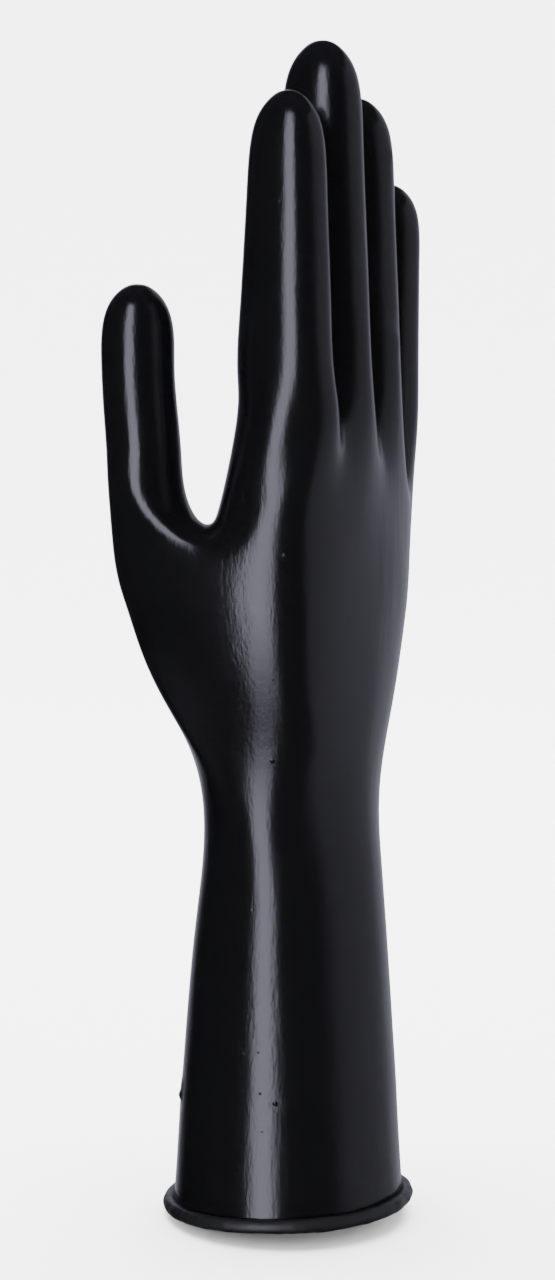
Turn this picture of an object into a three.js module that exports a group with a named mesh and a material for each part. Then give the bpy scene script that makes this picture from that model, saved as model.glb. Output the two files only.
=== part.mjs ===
// Latex glove, right hand, held open in its worn form with the fingers up.
//
// The glove is one dipped film: sleeve, palm, four fingers and a thumb, with the
// open end rolled outwards into a bead. It is built as one closed shell.
//
// Millimetres. +Z runs from the opening to the fingertips, -Y is the back of the
// hand, +Y the palm, -X the thumb side and +X the little finger's side. The origin
// is the centre of the opening, on the plane under the rolled bead.
//
// Method: rings of points are set round the hand from the tables below and joined
// by four-sided faces into a coarse cage. One round of Catmull-Clark subdivision
// makes it smooth, and the inner skin is that surface moved inwards by the wall.

import * as THREE from 'three';

// Main sizes
const WALL = 1.0;                 // film thickness
const BEAD_TUBE = 2.0;            // radius of the rolled edge's round section
const BEAD_CENTRE_RADIUS = 30.4;  // from the glove's axis to the middle of the roll
const BEAD_CENTRE_HEIGHT = 2.6;
const BEAD_SAG = 0.6;             // the roll dips and lifts this much round the cuff
const SLEEVE_POINTS = 20;         // cage points round the sleeve and palm
const FINGER_POINTS = 8;          // cage points round a finger
const FIT_ROUNDS = 2;             // how often the cage is moved onto its tables

// Sleeve, wrist and palm, one row for each ring, from the bead up.
// thumbShare says how far the ring has moved towards the shape at the thumb's root,
// and mound is the swelling of the thumb's ball on the palm side.
// Columns: height, halfWidth, backY, palmY, power, thumbShare, mound
const HAND_RINGS = [
  [4.6, 29.8, -29.8, 29.8, 2.0, 0.00, 0.0],
  [20, 28.9, -28.9, 28.8, 2.0, 0.00, 0.0],
  [45, 27.7, -27.4, 26.8, 2.0, 0.00, 0.0],
  [70, 26.6, -25.6, 24.4, 2.0, 0.00, 0.0],
  [90, 25.8, -23.9, 21.6, 2.0, 0.00, 0.0],
  [104, 25.7, -23.2, 20.6, 2.0, 0.02, 0.3],
  [116, 27.3, -23.4, 19.0, 2.0, 0.15, 1.6],
  [127, 30.4, -24.2, 16.6, 2.05, 0.38, 3.8],
  [138, 34.1, -25.1, 14.0, 2.1, 0.61, 5.6],
  [149, 37.2, -25.8, 12.0, 2.15, 0.77, 6.0],
  [160, 39.3, -26.3, 10.4, 2.25, 0.88, 3.6],
];

// The plain section that the palm would have at the thumb's root, without the thumb.
const PLAIN_SECTION = { halfWidth: 40, backY: -26.5, palmY: 9.4, power: 2.3 };

// How much of the mound each palm point takes, counted round the ring.
// Columns: ring point, share
const MOUND_SHARES = [[18, 0.35], [17, 1.0], [16, 0.55], [15, 0.15]];

// The ring at the thumb's root. Stations run across the hand: 0 is the index
// finger's outer side, 1, 3, 5 and 7 are the four finger columns, 2, 4 and 6 the
// valleys between them, and 8 is the little finger's outer side.
// Columns: x, y, z, for stations 0 to 8 over the back
const THUMB_LEVEL_BACK = [
  [-41.8, 1.0, 172], [-40.4, -16.4, 172], [-30, -25, 172], [-15, -27.4, 172],
  [0, -27.5, 172], [13, -26.4, 171], [24, -23.2, 170], [33, -17.8, 168],
  [38.6, -12.2, 167],
];
const THUMB_LEVEL_SIDE = [40.2, -5.8, 166.5];
// Columns: x, y, z, for stations 8 to 2 over the palm; the thumb takes 1 and 0
const THUMB_LEVEL_PALM = [
  [38.2, -1.2, 168], [32.6, 3.6, 169], [24, 6.6, 170], [13, 8.4, 171],
  [1.5, 9.4, 171.5], [-9.5, 10.8, 172], [-20.5, 14, 172],
];

// The thumb's root is a round of this radius, and three of its points are in the
// ring above. Columns: angle in degrees from +X, height
const THUMB_ROOT = { x: -33, y: 19.6, radius: 10.2 };
const THUMB_ROOT_POINTS = [[38, 172], [95, 171], [152, 171]];

// The curved edge of skin between the thumb and the index finger.
// Columns: x, y, z, from the back to the palm
const CROTCH = [[-40.4, 2.2, 178.6], [-35.6, 4.0, 181.6], [-29.2, 8.0, 179.2]];

// The ring below the knuckles. Columns: x, y, z
const KNUCKLE_OUTER = [-42.6, -9.6, 188.5];
const KNUCKLE_BACK = [
  [-42, -16.6, 188], [-37, -23.6, 188], [-27, -27.2, 187], [-14, -28.1, 186],
  [-0.5, -27.6, 184.5], [12, -26.4, 183], [22.5, -24.1, 181], [31.6, -19.8, 179],
  [37.4, -14.8, 178],
];
const KNUCKLE_SIDE = [39.8, -8.8, 177.5];
const KNUCKLE_PALM = [
  [37.4, -3, 179], [31.3, 1.4, 180.5], [22, 3.4, 182], [11.5, 4.2, 184],
  [0.5, 4.4, 186], [-11, 4.6, 188], [-22.5, 4.6, 188.5], [-33.5, 1, 189],
  [-39.8, -3.2, 189],
];

// The ring at the fingers' roots, and the tops of the webs between the fingers.
// Columns: backX, backY, backZ, palmX, palmY, palmZ, for stations 0 to 8
const ROOT_STATIONS = [
  [-37.6, -21.8, 204, -37.6, -6.8, 206],
  [-31.5, -27.9, 206, -30.5, -1.6, 208],
  [-20.9, -25.3, 203.5, -20.6, -4.6, 207],
  [-10.8, -28.1, 206, -10.2, -1.9, 208],
  [0, -25.3, 200.6, 0, -4.6, 206.5],
  [10.1, -26.4, 203, 10.3, -2.2, 206],
  [20.2, -23.6, 190, 20.2, -4.6, 193],
  [29.8, -21.7, 192, 29.6, -1.8, 193],
  [35.8, -17.6, 191, 35.8, -6, 191.5],
];
// Columns: x, y, z, from the index finger's outer side to the little finger's
const WEB_TOPS = [
  [-40.4, -14.8, 205], [-20.7, -14.8, 212], [0, -14.6, 211.6],
  [20.1, -13.4, 197.5], [38.7, -12, 191],
];

// Fingers, each an oval that tapers from its root to a rounded tip. turn is the
// oval's turn about the finger's own axis, in degrees.
const FINGERS = [
  {
    name: 'index', root: [-31.1, -14.7, 219], tip: [-34, -17, 284.5],
    halfWidth: [9.0, 7.5], halfDepth: [13.0, 10.1], tipLength: 16, turn: 12,
  },
  {
    name: 'middle', root: [-10.5, -15.1, 219], tip: [-11, -14.6, 298.8],
    halfWidth: [9.0, 8.0], halfDepth: [12.9, 10.3], tipLength: 16, turn: 9,
  },
  {
    name: 'ring', root: [10.2, -14.2, 218], tip: [12.2, -12.9, 287.2],
    halfWidth: [8.8, 7.9], halfDepth: [12.0, 9.8], tipLength: 15, turn: 5,
  },
  {
    name: 'little', root: [29.6, -11.9, 204.5], tip: [33, -12.2, 267.2],
    halfWidth: [8.5, 7.4], halfDepth: [10.3, 9.1], tipLength: 13, turn: 0,
  },
];
const FINGER_POWER = 2.1;               // 2 is an ellipse, more is squarer
const SHAFT_SHARES = [0, 0.3, 0.58, 0.82]; // rings up the straight part
const TIP_SHARES = [0, 0.48, 0.79, 0.95];  // rings up the rounded end

// Thumb, round. Columns: height, x, y, radius
const THUMB_RINGS = [
  [187.6, -35.2, 20.9, 9.5],
  [199, -36.6, 21.3, 9.25],
  [210, -37.8, 21.6, 9.1],
  [219, -38.7, 21.6, 8.95],
];
const THUMB_TIP = { x: -40.5, y: 20.6, z: 239.5, length: 13 };
const THUMB_START_ANGLE = 178;          // degrees, where its first point faces

const radians = (degrees) => degrees * Math.PI / 180;
const mix = (a, b, t) => a + (b - a) * t;
const signedPower = (v, p) => Math.sign(v) * Math.abs(v) ** p;

// One point of a superellipse: an ellipse whose sides grow squarer with the power.
function ovalPoint(angle, halfX, halfY, power) {
  return [
    halfX * signedPower(Math.cos(angle), 2 / power),
    halfY * signedPower(Math.sin(angle), 2 / power),
  ];
}

// The sleeve's or palm's section: point 0 faces the thumb side, and the next ones
// go over the back of the hand to the little finger's side and home over the palm.
function handSection({ halfWidth, backY, palmY, power }) {
  const middle = (backY + palmY) / 2;
  const halfDepth = (palmY - backY) / 2;
  const points = [];
  for (let k = 0; k < SLEEVE_POINTS; k += 1) {
    const angle = Math.PI + 2 * Math.PI * k / SLEEVE_POINTS;
    const [x, y] = ovalPoint(angle, halfWidth, halfDepth, power);
    points.push([x, middle + y]);
  }
  return points;
}

class Cage {
  constructor() {
    this.points = [];
    this.faces = [];
  }

  add(point) {
    this.points.push(point);
    return this.points.length - 1;
  }

  addRing(points) {
    return points.map((p) => this.add(p));
  }

  join(low, high) {
    const n = low.length;
    for (let k = 0; k < n; k += 1) {
      const next = (k + 1) % n;
      this.faces.push([low[k], low[next], high[next], high[k]]);
    }
  }

  // Closes a ring of eight with four faces round a middle point.
  close(ring, middlePoint) {
    const middle = this.add(middlePoint);
    for (let k = 0; k < ring.length; k += 2) {
      const before = ring[(k + ring.length - 1) % ring.length];
      this.faces.push([before, ring[k], ring[k + 1], middle]);
    }
  }
}

function thumbRootPoints() {
  const { x, y, radius } = THUMB_ROOT;
  return THUMB_ROOT_POINTS.map(([angle, z]) => [
    x + radius * Math.cos(radians(angle)),
    y + radius * Math.sin(radians(angle)),
    z,
  ]);
}

// The ring of twenty at the thumb's root.
function thumbLevelRing() {
  const [palmSide, middle, outer] = thumbRootPoints();
  return [
    outer, ...THUMB_LEVEL_BACK, THUMB_LEVEL_SIDE, ...THUMB_LEVEL_PALM,
    palmSide, middle,
  ];
}

// Rings from the cuff to just under the thumb's root. Each is its own plain
// section, moved by thumbShare of what the thumb adds at its root.
function addHandRings(cage, thumbLevel) {
  const plain = handSection(PLAIN_SECTION);
  const rings = HAND_RINGS.map((row) => {
    const [height, halfWidth, backY, palmY, power, thumbShare, mound] = row;
    const section = handSection({ halfWidth, backY, palmY, power });
    const points = section.map(([x, y], k) => [
      x + thumbShare * (thumbLevel[k][0] - plain[k][0]),
      y + thumbShare * (thumbLevel[k][1] - plain[k][1]),
      height,
    ]);
    for (const [k, share] of MOUND_SHARES) {
      points[k][1] += mound * share;
    }
    return cage.addRing(points);
  });
  for (let i = 1; i < rings.length; i += 1) {
    cage.join(rings[i - 1], rings[i]);
  }
  return rings;
}

function addThumb(cage, rootRing) {
  const { x: tipX, y: tipY, z: tipZ, length } = THUMB_TIP;
  const [lastHeight, lastX, lastY, lastRadius] = THUMB_RINGS.at(-1);
  const rows = [...THUMB_RINGS];
  for (const share of TIP_SHARES) {
    const height = tipZ - length + share * length;
    const along = (height - lastHeight) / (tipZ - lastHeight);
    rows.push([
      height, mix(lastX, tipX, along), mix(lastY, tipY, along),
      lastRadius * Math.sqrt(1 - share ** 2),
    ]);
  }
  let below = rootRing;
  for (const [height, x, y, radius] of rows) {
    const points = [];
    for (let k = 0; k < FINGER_POINTS; k += 1) {
      const angle = radians(THUMB_START_ANGLE + 360 * k / FINGER_POINTS);
      points.push([x + radius * Math.cos(angle), y + radius * Math.sin(angle), height]);
    }
    const ring = cage.addRing(points);
    cage.join(below, ring);
    below = ring;
  }
  cage.close(below, [tipX, tipY, tipZ]);
}

function addFinger(cage, rootRing, finger) {
  const { root, tip, halfWidth, halfDepth, tipLength } = finger;
  const tipStart = tip[2] - tipLength;
  const rows = SHAFT_SHARES.map((share) => ({
    height: mix(root[2], tipStart, share), taper: share, round: 1,
  }));
  for (const share of TIP_SHARES) {
    rows.push({
      height: tipStart + share * tipLength, taper: 1, round: Math.sqrt(1 - share ** 2),
    });
  }
  const turn = radians(-finger.turn);
  let below = rootRing;
  for (const { height, taper, round } of rows) {
    const along = (height - root[2]) / (tip[2] - root[2]);
    const middleX = mix(root[0], tip[0], along);
    const middleY = mix(root[1], tip[1], along);
    const points = [];
    for (let k = 0; k < FINGER_POINTS; k += 1) {
      const [x, y] = ovalPoint(
        radians(225 + 360 * k / FINGER_POINTS),
        mix(halfWidth[0], halfWidth[1], taper) * round,
        mix(halfDepth[0], halfDepth[1], taper) * round,
        FINGER_POWER,
      );
      points.push([
        middleX + x * Math.cos(turn) - y * Math.sin(turn),
        middleY + x * Math.sin(turn) + y * Math.cos(turn),
        height,
      ]);
    }
    const ring = cage.addRing(points);
    cage.join(below, ring);
    below = ring;
  }
  cage.close(below, tip);
}

function buildCage() {
  const cage = new Cage();
  const thumbLevel = thumbLevelRing();
  const handRings = addHandRings(cage, thumbLevel);
  const split = cage.addRing(thumbLevel);
  cage.join(handRings.at(-1), split);

  // At the thumb's root the ring of twenty parts into the thumb's ring of eight
  // and the palm's ring of twenty. The crotch's edge belongs to both.
  const crotch = cage.addRing(CROTCH);
  const palmRing = [...split];
  [palmRing[0], palmRing[19], palmRing[18]] = crotch;
  const thumbRing = [split[1], ...crotch, split[17], split[18], split[19], split[0]];
  addThumb(cage, thumbRing);

  const knuckles = cage.addRing([
    KNUCKLE_OUTER, ...KNUCKLE_BACK, KNUCKLE_SIDE, ...KNUCKLE_PALM,
  ]);
  cage.join(palmRing, knuckles);

  const back = cage.addRing(ROOT_STATIONS.map((row) => row.slice(0, 3)));
  const palm = cage.addRing(ROOT_STATIONS.map((row) => row.slice(3, 6)));
  const webs = cage.addRing(WEB_TOPS);
  cage.join(knuckles, [webs[0], ...back, webs[4], ...[...palm].reverse()]);

  FINGERS.forEach((finger, i) => {
    const s = 2 * i;
    const rootRing = [
      back[s], back[s + 1], back[s + 2], webs[i + 1],
      palm[s + 2], palm[s + 1], palm[s], webs[i],
    ];
    addFinger(cage, rootRing, finger);
  });
  return cage;
}

// The edges of a mesh of four-sided faces, each with its two ends and its faces.
function findEdges(faces) {
  const edges = new Map();
  faces.forEach((face, f) => {
    face.forEach((a, c) => {
      const b = face[(c + 1) % 4];
      const key = a < b ? `${a},${b}` : `${b},${a}`;
      if (!edges.has(key)) {
        edges.set(key, { ends: [Math.min(a, b), Math.max(a, b)], faces: [] });
      }
      edges.get(key).faces.push(f);
    });
  });
  return edges;
}

const average = (points) => [0, 1, 2].map(
  (i) => points.reduce((sum, p) => sum + p[i], 0) / points.length,
);

// Where each cage point comes to rest on the smooth surface. An inner point is
// weighed with its edge neighbours and the far corners of its faces, and a point
// on the open rim with its two neighbours on the rim.
function restingPoints(points, faces) {
  const edges = findEdges(faces);
  const near = points.map(() => []);
  const rim = points.map(() => []);
  const far = points.map(() => []);
  for (const { ends: [a, b], faces: sides } of edges.values()) {
    near[a].push(points[b]);
    near[b].push(points[a]);
    if (sides.length === 1) {
      rim[a].push(points[b]);
      rim[b].push(points[a]);
    }
  }
  for (const face of faces) {
    face.forEach((a, c) => far[a].push(points[face[(c + 2) % 4]]));
  }
  return points.map((p, v) => p.map((value, i) => {
    if (rim[v].length) {
      return (4 * value + rim[v][0][i] + rim[v][1][i]) / 6;
    }
    const n = near[v].length;
    const nearSum = near[v].reduce((sum, q) => sum + q[i], 0);
    const farSum = far[v].reduce((sum, q) => sum + q[i], 0);
    return (n * n * value + 4 * nearSum + farSum) / (n * (n + 5));
  }));
}

// Moves the cage outwards so that the smooth surface runs through its tables.
function fitCage(cage) {
  const wanted = cage.points;
  let points = wanted;
  for (let round = 0; round < FIT_ROUNDS; round += 1) {
    const resting = restingPoints(points, cage.faces);
    points = points.map((p, v) => p.map((value, i) => value + wanted[v][i] - resting[v][i]));
  }
  return { points, faces: cage.faces };
}

// One round of Catmull-Clark: a new point for each face, edge and old point.
function subdivide({ points, faces }) {
  const edges = findEdges(faces);
  const facePoints = faces.map((face) => average(face.map((v) => points[v])));
  const around = points.map(() => ({ faces: [], middles: [], rim: [] }));
  const edgeIndex = new Map();
  const edgePoints = [];
  for (const [key, { ends, faces: sides }] of edges) {
    const middle = average(ends.map((v) => points[v]));
    const isRim = sides.length === 1;
    edgeIndex.set(key, points.length + faces.length + edgePoints.length);
    edgePoints.push(isRim ? middle : average([
      points[ends[0]], points[ends[1]], facePoints[sides[0]], facePoints[sides[1]],
    ]));
    for (const v of ends) {
      around[v].middles.push(middle);
      if (isRim) {
        around[v].rim.push(middle);
      }
    }
  }
  faces.forEach((face, f) => face.forEach((v) => around[v].faces.push(facePoints[f])));
  const moved = points.map((p, v) => {
    const { faces: nearFaces, middles, rim } = around[v];
    if (rim.length) {
      return average([p, average(rim)]);
    }
    const n = middles.length;
    const faceMean = average(nearFaces);
    const edgeMean = average(middles);
    return p.map((value, i) => (faceMean[i] + 2 * edgeMean[i] + (n - 3) * value) / n);
  });
  const edgeOf = (a, b) => edgeIndex.get(a < b ? `${a},${b}` : `${b},${a}`);
  const quads = [];
  faces.forEach((face, f) => face.forEach((v, c) => {
    const next = face[(c + 1) % 4];
    const before = face[(c + 3) % 4];
    quads.push([v, edgeOf(v, next), points.length + f, edgeOf(before, v)]);
  }));
  return { points: [...moved, ...facePoints, ...edgePoints], faces: quads };
}

// The outward direction at each point, from the faces that meet there.
function outwardDirections({ points, faces }) {
  const sums = points.map(() => new THREE.Vector3());
  for (const face of faces) {
    const [a, b, c, d] = face.map((v) => new THREE.Vector3(...points[v]));
    const facing = c.sub(a).cross(d.sub(b));
    face.forEach((v) => sums[v].add(facing));
  }
  return sums.map((sum) => sum.normalize());
}

// The open rim's points in order round the cuff, starting from the thumb side.
function rimLoop({ points, faces }) {
  const onward = new Map();
  const edges = findEdges(faces);
  for (const face of faces) {
    face.forEach((a, c) => {
      const b = face[(c + 1) % 4];
      if (edges.get(a < b ? `${a},${b}` : `${b},${a}`).faces.length === 1) {
        onward.set(a, b);
      }
    });
  }
  const start = [...onward.keys()].reduce((best, v) => (
    points[v][0] < points[best][0] ? v : best
  ));
  const loop = [start];
  for (let v = onward.get(start); v !== start; v = onward.get(v)) {
    loop.push(v);
  }
  return loop;
}

// The roll's height changes a little round the cuff, as a rolled edge does.
function beadHeight(angle) {
  return BEAD_CENTRE_HEIGHT + BEAD_SAG * Math.cos(angle + radians(63));
}

// The glove: outer skin, rolled bead and inner skin as one closed shell.
function gloveGeometry() {
  const skin = subdivide(fitCage(buildCage()));
  const outward = outwardDirections(skin);
  const rim = rimLoop(skin);
  const onRim = new Set(rim);
  const count = skin.points.length;
  const positions = [...skin.points];
  skin.points.forEach((p, v) => {
    const direction = outward[v].clone();
    if (onRim.has(v)) {
      direction.setZ(0).normalize();
    }
    positions.push([
      p[0] - WALL * direction.x, p[1] - WALL * direction.y, p[2] - WALL * direction.z,
    ]);
  });

  // Loops round the bead, from the outer skin over the roll to the inner skin.
  const rollAngles = [78, 50, 22, -6, -34, -62, -90, -118, -146, -174, 160];
  const loops = [rim];
  for (const rollAngle of rollAngles) {
    loops.push(rim.map((v) => {
      const [x, y] = skin.points[v];
      const angle = Math.atan2(y, x);
      const reach = BEAD_CENTRE_RADIUS + BEAD_TUBE * Math.cos(radians(rollAngle));
      positions.push([
        reach * Math.cos(angle),
        reach * Math.sin(angle),
        beadHeight(angle) + BEAD_TUBE * Math.sin(radians(rollAngle)),
      ]);
      return positions.length - 1;
    }));
  }
  loops.push(rim.map((v) => v + count));

  const triangles = [];
  const addQuad = (a, b, c, d) => triangles.push(a, b, c, a, c, d);
  for (const [a, b, c, d] of skin.faces) {
    addQuad(a, b, c, d);
    addQuad(a + count, d + count, c + count, b + count);
  }
  for (let i = 1; i < loops.length; i += 1) {
    rim.forEach((_, k) => {
      const next = (k + 1) % rim.length;
      addQuad(loops[i - 1][k], loops[i][k], loops[i][next], loops[i - 1][next]);
    });
  }
  const geometry = new THREE.BufferGeometry();
  geometry.setAttribute('position', new THREE.Float32BufferAttribute(positions.flat(), 3));
  geometry.setIndex(triangles);
  geometry.computeVertexNormals();
  return geometry;
}

const latex = new THREE.MeshStandardMaterial({
  name: 'black_latex', color: 0x0d0d10, roughness: 0.22, metalness: 0,
});

const glove = new THREE.Mesh(gloveGeometry(), latex);
glove.name = 'glove_shell';

const group = new THREE.Group();
group.name = 'latex_glove';
group.add(glove);

export default group;
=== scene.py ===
# %% [markdown]
# # A long black latex glove in its worn form
#
# A dipped glove is one film of rubber. It is straight at the sleeve, narrows at the
# wrist, swells over the ball of the thumb and ends in five rounded tips, and its open
# end is rolled outwards into a bead. The film could be sculpted by eye, but a coarse
# cage worked out from a few tables keeps each measured line in plain sight, and
# subdivision then rounds it.
#
# Everything is in the part's frame: +Z to the fingertips, -Y the back of the hand, +Y
# the palm, -X the thumb's side. The origin is the centre of the opening, under the
# bead. The tables are in millimetres and the meshes in metres.

import bpy
import numpy as np
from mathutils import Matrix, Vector


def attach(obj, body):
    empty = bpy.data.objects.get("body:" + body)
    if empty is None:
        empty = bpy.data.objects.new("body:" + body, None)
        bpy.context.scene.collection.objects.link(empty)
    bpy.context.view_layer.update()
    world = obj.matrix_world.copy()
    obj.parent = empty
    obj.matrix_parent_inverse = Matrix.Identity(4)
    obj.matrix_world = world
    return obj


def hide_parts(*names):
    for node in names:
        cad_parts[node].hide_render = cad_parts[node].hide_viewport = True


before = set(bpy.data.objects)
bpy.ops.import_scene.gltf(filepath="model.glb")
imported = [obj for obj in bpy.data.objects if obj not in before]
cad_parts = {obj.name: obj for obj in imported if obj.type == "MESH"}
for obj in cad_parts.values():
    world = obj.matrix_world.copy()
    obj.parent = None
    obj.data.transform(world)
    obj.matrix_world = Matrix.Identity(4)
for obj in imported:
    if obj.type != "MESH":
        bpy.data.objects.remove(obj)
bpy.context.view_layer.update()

MM = 0.001

# %% [markdown]
# ## Sleeve, wrist and palm
#
# The sleeve is nearly round and the palm is flat, and between them the film narrows at
# the wrist. The rings that climb from the opening could be drawn point by point. Here
# each is a superellipse, an ellipse whose sides grow squarer with its power, because a
# few numbers for a ring are easy to set against the photo. Only the ring at the thumb's
# root is given by its points, since no simple curve has a thumb in it. Near the thumb
# the rings move towards it by their thumb share. The mound is the ball of the thumb.

# %% The oval of a section
def oval(angles, half_x, half_y, power):
    """Superellipse: each coordinate is its half width times the cosine or sine of the
    angle, of which the sign is kept and the size is raised to two over the power."""
    cosine, sine = np.cos(angles), np.sin(angles)
    x = half_x * np.sign(cosine) * np.abs(cosine) ** (2 / power)
    y = half_y * np.sign(sine) * np.abs(sine) ** (2 / power)
    return np.stack([x, y], -1)


print("corner of a squarer oval:", oval(np.radians(45), 1, 1, 2.5).round(2).tolist())

# %% The ring at the thumb's root
# Stations across the hand: 0 is the index finger's outer side, 1, 3, 5 and 7 the four
# fingers, 2, 4 and 6 the valleys between them, and 8 the little finger's outer side.
# Columns: x, y, z
THUMB_LEVEL_BACK = [
    [-43.8, -0.5, 172], [-39.4, -20.4, 172], [-29, -26, 172], [-15, -27.4, 172],
    [0, -27.5, 172], [13, -26.4, 171], [24, -23.2, 170], [33, -17.8, 168],
    [38.6, -12.2, 167],
]
THUMB_LEVEL_SIDE = [[40.2, -5.8, 166.5]]
# Stations 8 to 2 over the palm; the thumb takes 1 and 0. Columns: x, y, z
THUMB_LEVEL_PALM = [
    [38.2, -1.2, 168], [32.6, 3.6, 169], [24, 6.6, 170], [13, 8.4, 171],
    [1.5, 9.4, 171.5], [-9.5, 10.8, 172], [-20.5, 14, 172],
]
# The thumb's root is a round of this radius, with three of its points in the ring.
THUMB_ROOT = {"x": -33.0, "y": 19.6, "radius": 10.2}
# Columns: angle in degrees from +X, height
THUMB_ROOT_POINTS = np.array([[38, 172], [95, 171], [152, 171]])


def thumb_level_ring():
    """Three points at the thumb's centre plus its radius times cosine and sine, and
    between them those of the back, the far side and the palm."""
    angles = np.radians(THUMB_ROOT_POINTS[:, 0])
    x = THUMB_ROOT["x"] + THUMB_ROOT["radius"] * np.cos(angles)
    y = THUMB_ROOT["y"] + THUMB_ROOT["radius"] * np.sin(angles)
    own = np.stack([x, y, THUMB_ROOT_POINTS[:, 1]], 1)
    rows = [own[2:], THUMB_LEVEL_BACK, THUMB_LEVEL_SIDE, THUMB_LEVEL_PALM, own[:2]]
    return np.concatenate(rows)


thumb_level = thumb_level_ring()
RING_POINTS = len(thumb_level)
print("thumb's root:", RING_POINTS, "points in the ring")

# %% The rings below it
# Columns: height, half width, back y, palm y, power, thumb share, mound
HAND_RINGS = np.array([
    [2.6, 30.5, -30.5, 30.5, 2.0, 0.00, 0.0],
    [5.2, 29.8, -29.8, 29.8, 2.0, 0.00, 0.0],
    [20, 28.9, -28.9, 28.8, 2.0, 0.00, 0.0],
    [29, 28.5, -28.4, 28.2, 2.0, 0.00, 0.0],
    [35, 28.2, -28.1, 27.7, 2.0, 0.00, 0.0],
    [45, 27.7, -27.4, 26.8, 2.0, 0.00, 0.0],
    [70, 26.6, -25.6, 24.4, 2.0, 0.00, 0.0],
    [90, 25.8, -23.9, 21.6, 2.0, 0.00, 0.0],
    [104, 26.9, -22.5, 19.9, 2.0, 0.02, 0.3],
    [116, 28.7, -22.7, 18.3, 2.0, 0.15, 1.6],
    [127, 31.0, -23.9, 16.3, 2.05, 0.38, 3.8],
    [138, 34.1, -25.1, 14.0, 2.1, 0.61, 5.6],
    [149, 37.2, -25.8, 12.0, 2.15, 0.77, 6.0],
    [160, 39.3, -26.3, 10.4, 2.25, 0.88, 3.6],
])
# The section that the palm would have at the thumb's root, without the thumb.
# Columns: half width, back y, palm y, power
PLAIN_SECTION = (40.0, -26.5, 9.4, 2.3)
# How much of the mound each point of a ring takes. Columns: ring point, share
MOUND_SHARES = ((18, 0.35), (17, 1.0), (16, 0.55), (15, 0.15))


def flat_section(angles, half, back, palm, power):
    """Oval from the back to the palm, moved so that its middle is halfway between."""
    section = oval(angles, half, (palm - back) / 2, power)
    section[..., 1] += (palm + back) / 2
    return section


def hand_sections():
    """Each ring's oval, plus its thumb share of the way from the plain section to the
    thumb's level, plus on the palm side its mound times the share of each point."""
    angles = np.radians(180 + 360 / RING_POINTS * np.arange(RING_POINTS))
    height, half, back, palm, power, share, mound = HAND_RINGS.T[:, :, None]
    way = thumb_level[:, :2] - flat_section(angles, *PLAIN_SECTION)
    rings = flat_section(angles, half, back, palm, power) + share[..., None] * way
    points, point_shares = np.array(MOUND_SHARES).T
    rings[:, points.astype(int), 1] += mound * point_shares
    z = np.broadcast_to(height[..., None], rings.shape[:2] + (1,))
    return np.concatenate([rings, z], -1)


hand_rings = hand_sections()
print("sleeve, wrist and palm:", len(hand_rings), "rings")

# %% [markdown]
# ## Thumb
#
# The thumb is a round tube that leans a little outwards and ends in a half ball. It
# could be a fifth finger from the fingers' table, but its section is rounder and it
# bends from row to row. So it has a short table of its own, a centre and a radius for
# each height, and its tip is worked out as a ball's sections are.

# %% Rounds up the thumb
# Columns: height, x, y, radius
THUMB_RINGS = np.array([
    [187.6, -35.2, 20.9, 9.5],
    [199, -36.6, 21.3, 9.25],
    [210, -37.8, 21.6, 9.1],
    [219, -38.7, 21.6, 8.95],
])
THUMB_TIP = (-40.5, 20.6, 239.5)
THUMB_TIP_LENGTH = 13.0
THUMB_START_ANGLE = 178
TIP_SHARES = np.array([0, 0.48, 0.79, 0.95])    # rings up a rounded end
ROUND_POINTS = 8
round_angles = 360 / ROUND_POINTS * np.arange(ROUND_POINTS)


def thumb_rings():
    """Circles about a leaning line. In the tip the radius is the last one times the
    square root of one minus the square of the share of the tip's length."""
    last_height, last_x, last_y, last_radius = THUMB_RINGS[-1]
    tip_x, tip_y, tip_z = THUMB_TIP
    height = tip_z - THUMB_TIP_LENGTH * (1 - TIP_SHARES)
    way = (height - last_height) / (tip_z - last_height)
    x = last_x + (tip_x - last_x) * way
    y = last_y + (tip_y - last_y) * way
    radius = last_radius * np.sqrt(1 - TIP_SHARES ** 2)
    rows = np.concatenate([THUMB_RINGS, np.stack([height, x, y, radius], 1)])
    angles = np.radians(THUMB_START_ANGLE + round_angles)
    x = rows[:, 1:2] + rows[:, 3:4] * np.cos(angles)
    y = rows[:, 2:3] + rows[:, 3:4] * np.sin(angles)
    return np.stack([x, y, np.broadcast_to(rows[:, :1], x.shape)], -1)


print("thumb:", len(thumb_rings()), "rounds and a tip")

# %% [markdown]
# ## Knuckles, webs and fingers
#
# Above the thumb the palm widens to the knuckles and parts into four fingers, with a
# web of film between each two. The fingers could be tubes set into the palm, but then a
# crease would show at each root, where a dipped film runs over softly. So the palm ends
# in paired stations, back and front, and each finger grows from the eight around it.

# %% The ring below the knuckles
# Columns: x, y, z
KNUCKLE_OUTER = [[-42.6, -9.6, 188.5]]
KNUCKLE_BACK = [
    [-42.2, -17.6, 188], [-37.6, -24.4, 188], [-27, -27.2, 187], [-14, -28.1, 186],
    [-0.5, -27.6, 184.5], [12, -26.4, 183], [22.5, -24.1, 181], [31.6, -19.8, 179],
    [37.4, -14.8, 178],
]
KNUCKLE_SIDE = [[39.8, -8.8, 177.5]]
KNUCKLE_PALM = [
    [37.4, -3, 179], [31.3, 1.4, 180.5], [22, 3.4, 182], [11.5, 4.2, 184],
    [0.5, 4.4, 186], [-11, 4.6, 188], [-22.5, 4.6, 188.5], [-33.5, 1, 189],
    [-39.8, -3.2, 189],
]
knuckle_ring = KNUCKLE_OUTER + KNUCKLE_BACK + KNUCKLE_SIDE + KNUCKLE_PALM
print("knuckles:", len(knuckle_ring), "points in the ring")

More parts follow.
